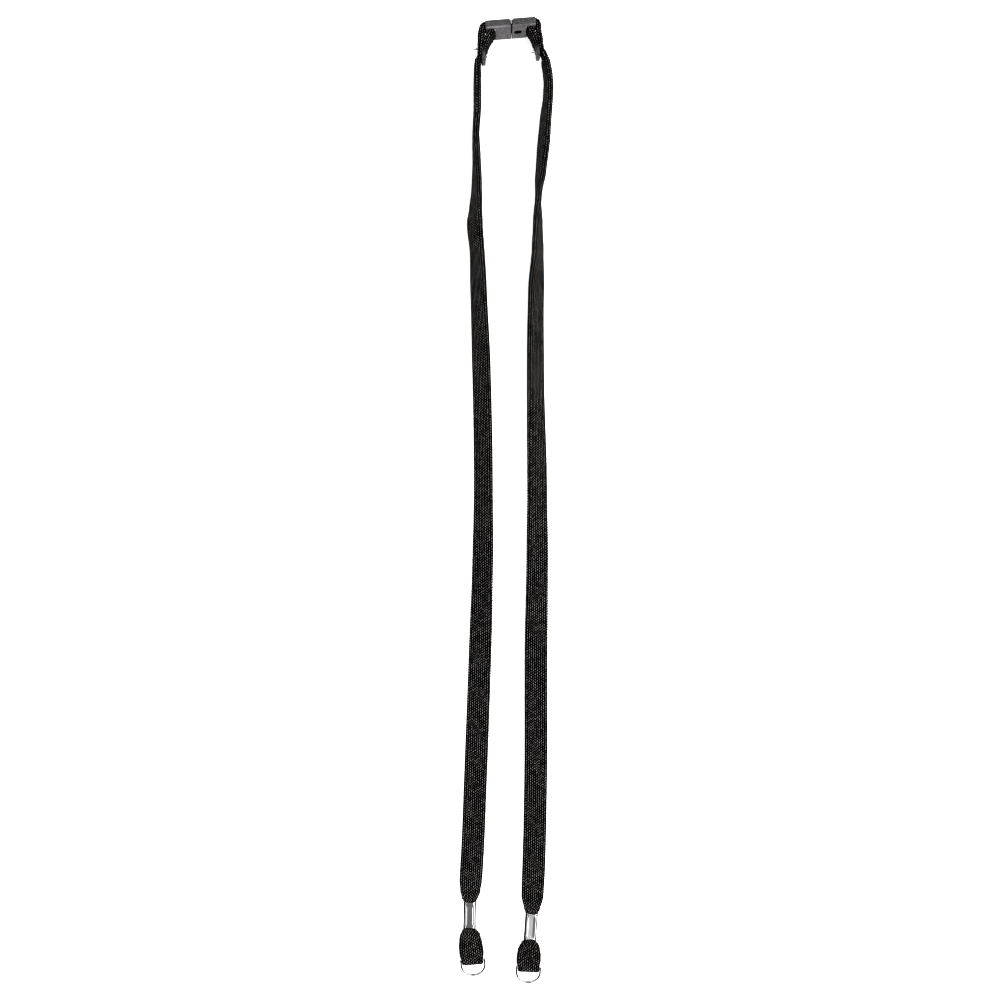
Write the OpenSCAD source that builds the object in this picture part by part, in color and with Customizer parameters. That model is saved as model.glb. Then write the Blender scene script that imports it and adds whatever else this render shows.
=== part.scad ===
// Eyeglass retainer strap: a flat tubular braid in two halves, joined behind the neck by a
// breakaway buckle, each half ending in a crimped loop that holds a half-round wire ring.
// The strap lies on a table at z = 0, its buckle at +Y standing on one side edge.

/* [Strap] */
// Flat width of the braid
strap_w = 10.3; // [8.5:0.1:10.5]
// Thickness of the flattened braid where it is folded
strap_t = 2.1; // [1.8:0.1:2.4]
// Thickness of the braid where it runs free
loose_t = 2.7; // [2:0.1:3]
// Thickness of each layer where the two layers are sewn together
sewn_t = 1.7; // [1.4:0.1:2]

/* [Buckle] */
// Width of the buckle, across the strap
buckle_w = 15; // [13:0.5:18]
// Thickness of the buckle
buckle_t = 3.5; // [3.2:0.1:4.2]
// Length of the female half's solid body
female_body_l = 6.5; // [6.3:0.1:9]
// Length of the male half's solid body
male_body_l = 7.2; // [6:0.1:10]
// Room left for the strap in its slot, on top of the strap's thickness
slot_play = 0.7; // [0.5:0.1:1.2]
// Width of the end crossbar, along the buckle
bar_l = 1.6; // [1.2:0.1:2.2]
// Thickness of the end crossbar, set back to take the strap
bar_t = 2.2; // [1.6:0.1:2.4]
// Corner radius of the buckle's outline
corner_r = 1.2; // [0.6:0.1:2]
// Chamfer on the buckle's long edges
edge_chamfer = 0.45; // [0.2:0.05:0.7]
// Gap left between the two halves when closed
seam_gap = 0.3; // [0.1:0.05:0.4]

/* [Latch] */
// Length of the male tongue
tongue_l = 5.2; // [4.2:0.1:5.4]
// Width of the male tongue
tongue_w = 8.8; // [7:0.1:9.4]
// Thickness of the male tongue
tongue_t = 1.1; // [0.8:0.1:1.3]
// Clearance round the tongue in its socket, each side
tongue_clear = 0.12; // [0.08:0.01:0.2]
// Diameter of the round latch window in the female half
window_d = 3.5; // [2.8:0.1:3.8]
// Distance of the latch window from the seam
window_from_seam = 2.9; // [2.6:0.1:3]
// Height of the latch bump on the tongue
bump_h = 0.45; // [0.3:0.05:0.5]

/* [Ferrule] */
// Length of the crimped ferrule
ferrule_l = 12.9; // [8:0.1:15]
// Outer width of the ferrule
ferrule_w = 6.7; // [6:0.1:8.4]
// Outer height of the ferrule
ferrule_h = 4.8; // [4.6:0.1:5.8]
// Wall of the ferrule
ferrule_wall = 0.4; // [0.3:0.05:0.5]

/* [End ring] */
// Wire diameter of the ring
ring_wire = 0.9; // [0.7:0.1:1.1]
// Outside width of the ring
ring_w = 11.7; // [11:0.1:13]
// Distance from the bar's centre line to the outside of the bow
ring_depth = 8.9; // [8:0.1:12]

/* [Hidden] */
$fn = 48;

black = "#17181a";
plastic = "#2a2b2d";
chrome = "#c9ccd1";

eps = 0.01;             // overshoot of cutting solids
fit_gap = 0.1;          // clearance between a folded layer and the back of what it folds round
fold_gap = 0.25;        // clearance between the fold and the sides of the crossbar
layer_gap = 0.05;       // clearance between two layers that are sewn or pressed together

// The buckle: its seam, and the turn of the whole buckle about Z.
buckle_at = [5.1, 216.6];
buckle_yaw = 4.5;
buckle_z = buckle_w / 2;
slot_l = strap_t + slot_play;
slot_side = 0.4;        // clearance beside the strap at each end of its slot
slot_w = strap_w + 2 * slot_side;
notch_l = 0.55;         // relief at the back of the seam, along the buckle, in each half
notch_t = 1.6;
notch_w = 1.8;
tip_play = 0.45;        // room beyond the tongue's tip
bump_play = 0.2;        // clearance round the latch bump in its window
bump_d = window_d - 2 * bump_play;

// The ferrules: the middle of the end nearer the buckle, and the turn about Z.
left_ferrule_at = [-13.8, -180.6];
right_ferrule_at = [14.5, -185.9];
left_ferrule_yaw = -1;
right_ferrule_yaw = -4;
ferrule_z = ferrule_h / 2;

// The end rings: the middle of each straight bar, and the turn of each loop about Z.
left_ring_at = [-12.6, -207.3];
right_ring_at = [13.1, -210.6];
left_ring_yaw = 4.8;
right_ring_yaw = -2.8;
ring_z = ring_wire / 2 + fit_gap + strap_t;
ring_r = (ring_w - ring_wire) / 2;             // centre line of the bow
ring_side = ring_depth - ring_wire / 2 - ring_r; // straight part of each side
ring_corner = 0.7;                             // bend between the bar and a side
ring_tilt = asin((ring_z - ring_wire / 2) / (ring_side + ring_r));

// Where the strap runs at a crossbar, in the buckle's own plane: x along the buckle, y to the back.
bar_back = bar_t - buckle_t / 2;               // y of the crossbar's back face
fold_r = bar_l / 2 + fold_gap + strap_t / 2;
fold_y = bar_back + fit_gap + strap_t / 2 - fold_r;
tack_t = 0.4;                                  // thread diameter
tack_gap = 0.08;                               // clearance between the thread and the strap
tack_share = 0.8;                              // length of a row, as a share of the strap's width
tack_rows = [0.15, 0.45, 0.75];                // shares of the way along the sewn stretch

// Strap stations. Each is [x, y, lift, roll, width, thickness, yaw]: lift is the height of the
// lower edge above the table, roll the lean of the width from flat (0) to standing (90), and yaw
// the turn of the width about Z.
// A fold runs in the buckle's plane, with x counted from the middle of the crossbar: in from the
// sealed tail to the slot, round the back of the crossbar, and out to the main run. The two
// layers are sewn together over the two stations of thickness sewn_t on each side.
male_in = [[2.9, -14.6, strap_t], [2.8, -13.2, strap_t], [2.7, -11.9, sewn_t],
           [2.4, -9.9, sewn_t], [1.7, -7.8, strap_t], [0.2, -5, strap_t], [-1.65, -2.4, strap_t]];
male_out = [[3, -1.2, strap_t], [3.4, -3, strap_t], [3.7, -5.4, strap_t],
            [2 + strap_t, -7.9, strap_t], [2.4 + layer_gap + sewn_t, -9.9, sewn_t],
            [2.75 + layer_gap + sewn_t, -11.9, sewn_t]];
female_in = [[1, -14.3, strap_t], [0.98, -13, strap_t], [0.95, -11.4, sewn_t],
             [0.85, -9.4, sewn_t], [0.4, -7.4, strap_t], [-0.3, -5, strap_t],
             [-1.6, -2.6, strap_t]];
female_out = [[2.2, -2.6, strap_t], [2.35, -5, strap_t], [0.5 + strap_t, -7.4, strap_t],
              [0.85 + layer_gap + sewn_t, -9.4, sewn_t], [1.05 + layer_gap + sewn_t, -11.4, sewn_t],
              [1.5 + strap_t, -13, strap_t]];
male_bulge = 0.7;       // how far the fold stands off the end of the crossbar
female_bulge = 0.1;

function fold_route(body_l, bulge, way_in, way_out) =
    let (bar_x = body_l + slot_l + bar_l / 2,
         up = buckle_z - strap_w / 2,
         at = function(x, y, t) [bar_x + x, y, up, 90, strap_w, t, 0],
         turn = function(a) at((fold_r + (a < 90 ? bulge : 0)) * cos(a), fold_y + fold_r * sin(a),
                               strap_t))
    concat([for (p = way_in) at(p[0], p[1], p[2])],
           [for (a = [180 : -30 : 0]) turn(a)],
           [for (p = way_out) at(p[0], p[1], p[2])]);

// The main runs, each [x, y, lift, roll, share of the free braid's width and thickness].
left_main = [
    [-10, 201.2, 1.9, 88, 1], [-10.3, 194.8, 1.3, 85, 1], [-10.4, 180.2, 0.3, 84, 1],
    [-11, 169, 0, 86, 1], [-10.7, 158.4, 0, 82, 1], [-10.7, 145, 0, 74, 1],
    [-11.1, 136.5, 0, 65, 1], [-11.5, 129.5, 0, 54, 1], [-10.5, 117, 0, 58, 1],
    [-9.8, 99, 0, 51, 1], [-8.5, 63, 0, 42, 1], [-7.6, 8, 0, 40, 1], [-8, -29, 0, 30, 1],
    [-9.1, -66, 0, 16, 1], [-11.1, -121, 0, 3, 1], [-13.1, -167, 0.2, 0, 1],
    [-13.4, -171.5, 0.8, 0, 0.98], [-13.6, -176, 1.6, 0, 0.88], [-13.8, -179.4, 2.3, 0, 0.72]];

right_main = [
    [20.7, 201.2, 1.9, 95, 1], [21.8, 194.8, 1.3, 98, 1], [21.9, 188.5, 0.8, 101, 1],
    [20.8, 177, 0.2, 108, 1], [19.8, 165, 0, 111, 1], [18.5, 151.5, 0, 105, 1],
    [17.5, 141, 0, 90, 1], [17.3, 130, 0, 77, 1], [17.2, 117, 0, 69, 1], [16.5, 99, 0, 53, 1],
    [16.2, 63, 0, 47, 1], [17, 8, 0, 34, 1], [17, -29, 0, 22, 1], [16.5, -66, 0, 8, 1],
    [16.4, -121, 0, 0, 1], [15.4, -167, 0.2, 0, 1], [14.9, -178, 1, 0, 0.97],
    [14.6, -184.4, 2.3, 0, 0.72]];

function main_run(stations) =
    [for (s = stations) [s[0], s[1], s[2], s[3], strap_w * s[4], loose_t * s[4], 0]];

// The crimped loop: through the ferrule on top, round the ring's bar, and back into the ferrule
// below. Each entry is [x, y] at the middle of the loop.
left_loop = [[-14, -194.8], [-13.8, -197], [-13.4, -200.6], [-13, -203.9]];
right_loop = [[13.5, -200], [13.4, -202.2], [13.1, -204.4], [13, -207.2]];
loop_w = [0.7, 0.93, 1.04, 1.02];              // shares of the strap's width, at the same places
loop_open = [0.35, 0.7, 0.9, 1];              // how far the two layers have parted there
below_share = 0.97;                            // width of the layer below, against the one on top
bore_w = ferrule_w - 2 * ferrule_wall;
bore_h = ferrule_h - 2 * ferrule_wall;
pinch_w = bore_w - 0.7;                        // width of each layer inside the ferrule
pinch_t = bore_h / 2 - 0.25;                   // thickness of each layer inside the ferrule
layer_z = (pinch_t + layer_gap) / 2;
past = 0.15;            // how far the pinched stretch reaches past each end of the ferrule
end_in = 0.4;           // how far inside the ferrule the strap ends
ring_play = 0.15;       // clearance beside the strap at each end of the ring's bar
ring_gap_w = ring_w - 2 * ring_wire - 2 * ring_play;

function on_plane(p, at, yaw) =
    [at[0] + p[0] * cos(yaw) - p[1] * sin(yaw), at[1] + p[0] * sin(yaw) + p[1] * cos(yaw)];

// A flat station at a given height of its middle.
function flat_station(p, z, w, t, yaw) = [p[0], p[1], z - t / 2, 0, w, t, yaw];

function loop_route(ferrule_at, ferrule_yaw, mids, ring_at, ring_yaw) =
    let (inside = function(d) on_plane([0, -d], ferrule_at, ferrule_yaw),
         r = ring_wire / 2 + fit_gap + strap_t / 2,
         on_top = ferrule_z + layer_z, below = ferrule_z - layer_z,
         high = ring_z + r, low = ring_z - r,
         round_bar = function(a) flat_station(on_plane([0, -r * cos(a)], ring_at, ring_yaw),
                                              ring_z + r * sin(a), ring_gap_w, strap_t,
                                              ring_yaw))
    concat(
        [for (d = [-past, ferrule_l + past])
            flat_station(inside(d), on_top, pinch_w, pinch_t, ferrule_yaw)],
        [for (i = [0 : len(mids) - 1])
            flat_station(mids[i], on_top + (high - on_top) * loop_open[i], strap_w * loop_w[i],
                         strap_t, ring_yaw)],
        [for (a = [90 : -36 : -90]) round_bar(a)],
        [for (i = [len(mids) - 1 : -1 : 0])
            flat_station(mids[i], below + (low - below) * loop_open[i],
                         strap_w * loop_w[i] * below_share, strap_t, ring_yaw)],
        [for (d = [ferrule_l + past, end_in])
            flat_station(inside(d), below, pinch_w, pinch_t, ferrule_yaw)]);

// The buckle's plane to the table: side is 1 for the female half's end and -1 for the male's.
function placed_fold(route, side) =
    [for (s = route) let (p = on_plane([side * s[0], s[1]], buckle_at, buckle_yaw))
        [p[0], p[1], s[2], s[3], s[4], s[5], 0]];

left_fold = placed_fold(fold_route(male_body_l, male_bulge, male_in, male_out), -1);
right_fold = placed_fold(fold_route(female_body_l, female_bulge, female_in, female_out), 1);
left_route = concat(left_fold, main_run(left_main),
                    loop_route(left_ferrule_at, left_ferrule_yaw, left_loop,
                               left_ring_at, left_ring_yaw));
right_route = concat(right_fold, main_run(right_main),
                     loop_route(right_ferrule_at, right_ferrule_yaw, right_loop,
                                right_ring_at, right_ring_yaw));

// The sweep: one ring of points at each station, joined by triangles.
function unit(v) = v / norm(v);
function middle(s) = [s[0], s[1], s[2] + s[4] / 2 * abs(sin(s[3])) + s[5] / 2 * abs(cos(s[3]))];
// Outline of the flattened braid, twelve points round from +X.
function section(w, t) =
    let (e = t / 2, x = w / 2)
    [[x, 0], [x - 0.15 * e, 0.6 * e], [x - 0.6 * e, e], [0, e], [0.6 * e - x, e],
     [0.15 * e - x, 0.6 * e], [-x, 0], [0.15 * e - x, -0.6 * e], [0.6 * e - x, -e], [0, -e],
     [x - 0.6 * e, -e], [x - 0.15 * e, -0.6 * e]];
sides = len(section(strap_w, strap_t));

function ring_points(route, mids, i, side) =
    let (last = len(mids) - 1,
         ahead = unit(unit(mids[min(i + 1, last)] - mids[max(i - 1, 0)])
                      + (i > 0 && i < last
                         ? unit(mids[i] - mids[i - 1]) + unit(mids[i + 1] - mids[i])
                         : [0, 0, 0])),
         s = route[i],
         lean = [-side * cos(s[3]) * cos(s[6]), -side * cos(s[3]) * sin(s[6]), sin(s[3])],
         across = unit(lean - (lean * ahead) * ahead),
         up = cross(ahead, across))
    [for (p = section(s[4], s[5])) mids[i] + p[0] * across + p[1] * up];

module strap(route, side) {
    mids = [for (s = route) middle(s)];
    n = len(route);
    points = [for (i = [0 : n - 1]) each ring_points(route, mids, i, side)];
    faces = concat(
        [[for (k = [0 : sides - 1]) k]],
        [for (i = [0 : n - 2], k = [0 : sides - 1])
            let (a = i * sides + k, b = i * sides + (k + 1) % sides)
            each [[a, a + sides, b + sides], [a, b + sides, b]]],
        [[for (k = [sides - 1 : -1 : 0]) (n - 1) * sides + k]]);
    polyhedron(points, faces, convexity = 6);
}

// ---- Buckle ----

module in_buckle() {
    translate([buckle_at[0], buckle_at[1], buckle_z]) rotate([0, 0, buckle_yaw]) children();
}

// A rectangle centred on its middle with round corners.
module round_rect(size, r) {
    square([size[0] - 2 * r, size[1]], center = true);
    square([size[0], size[1] - 2 * r], center = true);
    for (x = [-1, 1], y = [-1, 1])
        translate([x * (size[0] / 2 - r), y * (size[1] / 2 - r)]) circle(r);
}

// Outline of one half in x and z, from the seam to its end, round at the end only.
module half_outline(l) {
    intersection() {
        round_rect([2 * l, buckle_w], corner_r);
        translate([seam_gap / 2, -buckle_w]) square([l, 2 * buckle_w]);
    }
}

// Cross-section of the buckle in z and y, with its long edges chamfered.
module half_section() {
    c = edge_chamfer;
    w = buckle_w / 2;
    t = buckle_t / 2;
    polygon([[-w + c, -t], [w - c, -t], [w, -t + c], [w, t - c], [w - c, t], [-w + c, t],
             [-w, t - c], [-w, -t + c]]);
}

// One half without its latch: body, side rails and the set-back crossbar, along +X.
module buckle_half(body_l) {
    l = body_l + slot_l + bar_l;
    difference() {
        intersection() {
            rotate([90, 0, 0]) translate([0, 0, -buckle_t]) linear_extrude(2 * buckle_t)
                half_outline(l);
            rotate([90, 0, 90]) linear_extrude(l) rotate(90) half_section();
        }
        translate([body_l, -buckle_t, -slot_w / 2]) cube([l, 2 * buckle_t, slot_w]);
        for (s = [-1, 1])
            translate([-eps, buckle_t / 2 - notch_t, s * (buckle_w / 2 - notch_w / 2) - notch_w / 2])
                cube([notch_l + seam_gap / 2 + eps, notch_t + eps, notch_w + eps]);
    }
    translate([l - bar_l / 2, -buckle_t / 2 + bar_t / 2, -slot_w / 2 - eps])
        linear_extrude(slot_w + 2 * eps) round_rect([bar_l, bar_t], bar_l * 0.4);
}

module female_buckle_half() {
    socket_t = tongue_t + 2 * tongue_clear;
    socket_w = tongue_w + 2 * tongue_clear;
    socket_l = tongue_l + tip_play;
    groove_w = bump_d + 2 * tongue_clear;
    groove_t = bump_h + tongue_clear;
    color(plastic) in_buckle() difference() {
        buckle_half(female_body_l);
        translate([-eps, -socket_t / 2, -socket_w / 2]) cube([socket_l, socket_t, socket_w]);
        translate([-eps, -socket_t / 2 - groove_t, -groove_w / 2])
            cube([window_from_seam, groove_t + eps, groove_w]);
        translate([window_from_seam, 0, 0]) rotate([90, 0, 0]) cylinder(h = buckle_t, d = window_d);
    }
}

module male_buckle_half() {
    root = 0.5;         // how far the tongue is sunk into its own half
    tip = 0.8;          // chamfer on the tongue's corners
    w = tongue_w / 2;
    color(plastic) in_buckle() {
        mirror([1, 0, 0]) buckle_half(male_body_l);
        translate([0, -tongue_t / 2, 0]) rotate([-90, 0, 0]) linear_extrude(tongue_t)
            polygon([[-root, -w], [tongue_l - tip, -w], [tongue_l, tip - w], [tongue_l, w - tip],
                     [tongue_l - tip, w], [-root, w]]);
        translate([window_from_seam, 0, 0]) rotate([90, 0, 0])
            cylinder(h = tongue_t / 2 + bump_h, d = bump_d);
    }
}

// ---- Straps and their bar tacks ----

module left_strap() {
    color(black) strap(left_route, -1);
}

module right_strap() {
    color(black) strap(right_route, 1);
}

// Rows of thread across both faces where the tail is sewn to the main run, each row lying just
// off the face of its own layer.
module bar_tack(fold) {
    sewn = [for (s = fold) if (s[5] == sewn_t) middle(s)];
    tack_h = strap_w * tack_share;
    for (layer = [[sewn[0], sewn[1], sewn[2]], [sewn[2], sewn[3], sewn[1]]]) {
        run = layer[1] - layer[0];
        side = cross(unit(run), [0, 0, 1]);
        away = side * (side * (layer[0] - layer[2]) > 0 ? 1 : -1);
        for (f = tack_rows)
            translate(layer[0] + f * run + away * (sewn_t / 2 + tack_gap + tack_t / 2))
                translate([0, 0, -tack_h / 2]) cylinder(h = tack_h, d = tack_t, $fn = 24);
    }
}

module left_bar_tack() {
    color(black) bar_tack(left_fold);
}

module right_bar_tack() {
    color(black) bar_tack(right_fold);
}

// ---- Ferrules ----

// A flat oval tube lying along -Y from its end nearer the buckle, pressed flat on its top.
module ferrule(at, yaw) {
    press_l = ferrule_l * 0.72;
    press_w = ferrule_w * 0.42;
    press_h = 0.15;
    outer_r = 1.7;
    color(chrome) translate([at[0], at[1], ferrule_z]) rotate([90, 0, yaw]) difference() {
        linear_extrude(ferrule_l) round_rect([ferrule_w, ferrule_h], outer_r);
        translate([0, 0, -eps]) linear_extrude(ferrule_l + 2 * eps)
            round_rect([bore_w, bore_h], outer_r - ferrule_wall);
        translate([-press_w / 2, ferrule_h / 2 - press_h, (ferrule_l - press_l) / 2])
            cube([press_w, press_h + eps, press_l]);
    }
}

module left_ferrule() {
    ferrule(left_ferrule_at, left_ferrule_yaw);
}

module right_ferrule() {
    ferrule(right_ferrule_at, right_ferrule_yaw);
}

// ---- End rings ----

module wire(l) {
    cylinder(h = l, d = ring_wire, $fn = 24);
}

// A bend of wire from the end of the bar at the origin, turning from +X to -Y.
module wire_bend(r, a) {
    rotate_extrude(angle = a, $fn = 64) translate([r, 0]) circle(d = ring_wire, $fn = 24);
}

// The ring in its own plane: the bar on the X axis, the bow towards -Y.
module ring_shape() {
    bar_half = ring_r - ring_corner;
    translate([-bar_half, 0, 0]) rotate([0, 90, 0]) wire(2 * bar_half);
    for (s = [0, 1]) mirror([s, 0, 0]) {
        translate([bar_half, -ring_corner, 0]) wire_bend(ring_corner, 90);
        translate([ring_r, -ring_corner, 0]) rotate([90, 0, 0]) wire(ring_side - ring_corner);
    }
    translate([0, -ring_side, 0]) rotate([0, 0, 180]) wire_bend(ring_r, 180);
}

module end_ring(at, yaw) {
    color(chrome) translate([at[0], at[1], ring_z]) rotate([0, 0, yaw]) rotate([ring_tilt, 0, 0])
        ring_shape();
}

module left_end_ring() {
    end_ring(left_ring_at, left_ring_yaw);
}

module right_end_ring() {
    end_ring(right_ring_at, right_ring_yaw);
}

female_buckle_half();
male_buckle_half();
left_strap();
right_strap();
left_bar_tack();
right_bar_tack();
left_ferrule();
right_ferrule();
left_end_ring();
right_end_ring();
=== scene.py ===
import math
import random

import bmesh
import bpy
from mathutils import Matrix, Vector


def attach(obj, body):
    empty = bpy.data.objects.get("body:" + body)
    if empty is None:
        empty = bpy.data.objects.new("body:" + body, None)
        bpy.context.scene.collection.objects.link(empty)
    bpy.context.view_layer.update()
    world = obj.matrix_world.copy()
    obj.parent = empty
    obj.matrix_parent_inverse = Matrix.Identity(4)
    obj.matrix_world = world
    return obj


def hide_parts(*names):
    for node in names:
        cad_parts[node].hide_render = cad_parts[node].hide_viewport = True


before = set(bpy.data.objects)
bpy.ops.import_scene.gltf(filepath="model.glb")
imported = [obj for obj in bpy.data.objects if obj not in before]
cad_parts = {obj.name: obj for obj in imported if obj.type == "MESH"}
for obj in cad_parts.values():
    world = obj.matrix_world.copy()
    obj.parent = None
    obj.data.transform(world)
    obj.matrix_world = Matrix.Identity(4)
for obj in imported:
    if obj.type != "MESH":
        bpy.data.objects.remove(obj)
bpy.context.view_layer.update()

MM = 0.001

# ---------------------------------------------------------------- camera
# The picture is taken from straight above, 544 mm over the table, with +Y up in it.
CAMERA_AT = (0.0, 0.0028, 0.544)
camera_data = bpy.data.cameras.new("camera")
camera_data.sensor_width = 36.0
camera_data.lens = 42.57
camera_data.clip_start = 0.01
camera = bpy.data.objects.new("camera", camera_data)
camera.location = CAMERA_AT
bpy.context.scene.collection.objects.link(camera)
bpy.context.scene.camera = camera


# ---------------------------------------------------------------- helpers
def deg(angle):
    return math.radians(angle)


def link(obj):
    bpy.context.scene.collection.objects.link(obj)
    return obj


def mesh_object(name, verts, faces):
    mesh = bpy.data.meshes.new(name)
    mesh.from_pydata([tuple(v) for v in verts], [], faces)
    mesh.validate()
    mesh.update()
    mesh.polygons.foreach_set("use_smooth", [True] * len(mesh.polygons))
    return link(bpy.data.objects.new(name, mesh))


def outward(obj):
    """Turn every face of a closed mesh to face out."""
    bm = bmesh.new()
    bm.from_mesh(obj.data)
    bmesh.ops.recalc_face_normals(bm, faces=bm.faces)
    bm.to_mesh(obj.data)
    bm.free()
    return obj


def smoothstep(a, b, x):
    t = min(1.0, max(0.0, (x - a) / (b - a)))
    return t * t * (3 - 2 * t)


def tube(points, radius, sides=6, close=False, taper=None):
    """Vertices and faces of a round tube along points, in the points' own units."""
    n = len(points)
    pts = [Vector(p) for p in points]
    verts, faces = [], []
    side = None
    for i, p in enumerate(pts):
        if close:
            ahead = (pts[(i + 1) % n] - pts[i - 1]).normalized()
        else:
            ahead = (pts[min(i + 1, n - 1)] - pts[max(i - 1, 0)]).normalized()
        if side is None:
            side = ahead.cross(Vector((0, 0, 1)))
            if side.length < 0.1:
                side = ahead.cross(Vector((0, 1, 0)))
        side = (side - ahead * side.dot(ahead)).normalized()
        up = side.cross(ahead)
        r = radius * (taper(i / (n - 1)) if taper else 1.0)
        for k in range(sides):
            a = 2 * math.pi * k / sides
            verts.append(p + (side * math.cos(a) + up * math.sin(a)) * r)
    last = n if close else n - 1
    for i in range(last):
        for k in range(sides):
            a, b = i * sides + k, i * sides + (k + 1) % sides
            c, d = ((i + 1) % n) * sides + (k + 1) % sides, ((i + 1) % n) * sides + k
            faces.append((a, b, c, d))
    if not close:
        faces.append(tuple(reversed(range(sides))))
        faces.append(tuple(range((n - 1) * sides, n * sides)))
    return verts, faces


def joined(parts):
    """One list of vertices and faces out of several."""
    verts, faces = [], []
    for v, f in parts:
        base = len(verts)
        verts.extend(v)
        faces.extend([tuple(i + base for i in face) for face in f])
    return verts, faces


# ---------------------------------------------------------------- the straps' routes, in mm
# The sizes and places are the CAD part's, unless a comment says otherwise.
STRAP_W, STRAP_T, LOOSE_T, SEWN_T = 10.3, 2.1, 2.7, 1.7
BUCKLE_AT, BUCKLE_YAW = (5.1, 216.6), 4.5
BUCKLE_W, BUCKLE_T = 15.0, 3.5
BUCKLE_Z = BUCKLE_W / 2
FEMALE_BODY_L, MALE_BODY_L = 6.5, 7.2
FEMALE_BULGE, MALE_BULGE = 0.1, 0.7
WINDOW_FROM_SEAM = 2.9
SLOT_L, BAR_L, BAR_T = 2.8, 1.6, 2.2
FIT_GAP, FOLD_GAP, LAYER_GAP = 0.1, 0.25, 0.05
FERRULE_L, FERRULE_W, FERRULE_H, FERRULE_WALL = 12.9, 6.7, 4.8, 0.4
FERRULE_Z = FERRULE_H / 2
RING_WIRE, RING_W, RING_DEPTH = 0.9, 11.7, 8.9
RING_Z = RING_WIRE / 2 + FIT_GAP + STRAP_T
FOLD_R = BAR_L / 2 + FOLD_GAP + STRAP_T / 2
FOLD_Y = BAR_T - BUCKLE_T / 2 + FIT_GAP + STRAP_T / 2 - FOLD_R
PINCH_W = FERRULE_W - 2 * FERRULE_WALL - 0.7
PINCH_T = (FERRULE_H - 2 * FERRULE_WALL) / 2 - 0.25
LAYER_Z = (PINCH_T + LAYER_GAP) / 2
PAST = 0.15             # how far the pinched stretch reaches past each end of the ferrule
END_IN = 0.4            # how far inside the ferrule the strap ends
RING_PLAY = 0.15        # clearance beside the strap at each end of the ring's bar
BELOW_SHARE = 0.97      # width of the layer below, against the one on top
FOLD_FULL = 0.4         # extra thickness of the male fold's outer side, fuller than the CAD's
FOLD_SLACK = 0.12       # how far the fold's inner side stands off, looser than the CAD's
RING_FULL = 0.5         # extra width of the loop's upper side at the ring, over the CAD's

# The folds, each (x, y, thickness). Between the crossbar and the sewing they are fuller than the
# CAD's, as a soft braid is, so the two layers press into each other there.
MALE_IN = [(2.9, -14.6, STRAP_T), (2.8, -13.2, STRAP_T), (2.7, -11.9, SEWN_T),
           (2.4, -9.9, SEWN_T), (1.7, -7.8, 2.5), (0.6, -5.0, 3.2), (-1.6, -2.4, 2.4)]
MALE_OUT = [(2.75, -1.2, 3.0), (3.1, -3.0, 3.1), (3.45, -5.4, 2.6),
            (4.0, -7.9, 2.3), (4.15, -9.9, SEWN_T), (4.5, -11.9, SEWN_T)]
FEMALE_IN = [(1.0, -14.3, STRAP_T), (0.98, -13.0, STRAP_T), (0.95, -11.4, SEWN_T),
             (0.85, -9.4, SEWN_T), (0.3, -7.4, 2.4), (-0.2, -5.0, 3.0),
             (-1.6, -2.6, 2.2)]
FEMALE_OUT = [(2.05, -2.6, 2.5), (2.3, -5.0, 2.2), (2.6, -7.4, STRAP_T),
              (2.6, -9.4, SEWN_T), (2.8, -11.4, SEWN_T), (3.6, -13.0, STRAP_T)]
# The main runs, each (x, y, lift, roll, share of the free braid's width and thickness).
LEFT_MAIN = [
    (-10, 201.2, 1.9, 88, 1), (-10.3, 194.8, 1.3, 85, 1), (-10.4, 180.2, 0.3, 84, 1),
    (-11, 169, 0, 86, 1), (-10.7, 158.4, 0, 82, 1), (-10.7, 145, 0, 74, 1),
    (-11.1, 136.5, 0, 65, 1), (-11.5, 129.5, 0, 54, 1), (-10.5, 117, 0, 58, 1),
    (-9.8, 99, 0, 51, 1), (-8.5, 63, 0, 42, 1), (-7.6, 8, 0, 40, 1), (-8, -29, 0, 30, 1),
    (-9.1, -66, 0, 16, 1), (-11.1, -121, 0, 3, 1), (-13.1, -167, 0.2, 0, 1),
    (-13.4, -171.5, 0.8, 0, 0.98), (-13.6, -176, 1.6, 0, 0.88), (-13.8, -179.4, 2.3, 0, 0.72)]
RIGHT_MAIN = [
    (20.7, 201.2, 1.9, 95, 1), (21.8, 194.8, 1.3, 98, 1), (21.9, 188.5, 0.8, 101, 1),
    (20.8, 177, 0.2, 108, 1), (19.8, 165, 0, 111, 1), (18.5, 151.5, 0, 105, 1),
    (17.5, 141, 0, 90, 1), (17.3, 130, 0, 77, 1), (17.2, 117, 0, 69, 1), (16.5, 99, 0, 53, 1),
    (16.2, 63, 0, 47, 1), (17, 8, 0, 34, 1), (17, -29, 0, 22, 1), (16.5, -66, 0, 8, 1),
    (16.4, -121, 0, 0, 1), (15.4, -167, 0.2, 0, 1), (14.9, -178, 1, 0, 0.97),
    (14.6, -184.4, 2.3, 0, 0.72)]
SIDES = {
    "left": dict(
        body="male_side", ring_body="left_ring", side=-1, seed=11,
        fold=(MALE_BODY_L, MALE_BULGE, MALE_IN, MALE_OUT),
        main=LEFT_MAIN, ferrule_at=(-13.8, -180.6), ferrule_yaw=-1, ferrule_roll=0.0,
        loop=[(-14, -194.8), (-13.8, -197), (-13.4, -200.6), (-13, -203.9)],
        ring_at=(-12.6, -207.3), ring_yaw=4.8),
    "right": dict(
        body="female_side", ring_body="right_ring", side=1, seed=12,
        fold=(FEMALE_BODY_L, FEMALE_BULGE, FEMALE_IN, FEMALE_OUT),
        main=RIGHT_MAIN, ferrule_at=(14.5, -185.9), ferrule_yaw=-4, ferrule_roll=-2.5,
        loop=[(13.5, -200), (13.5, -202.2), (13.3, -204.4), (13.05, -207.2)],
        ring_at=(13.1, -210.6), ring_yaw=-2.8),
}
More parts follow.
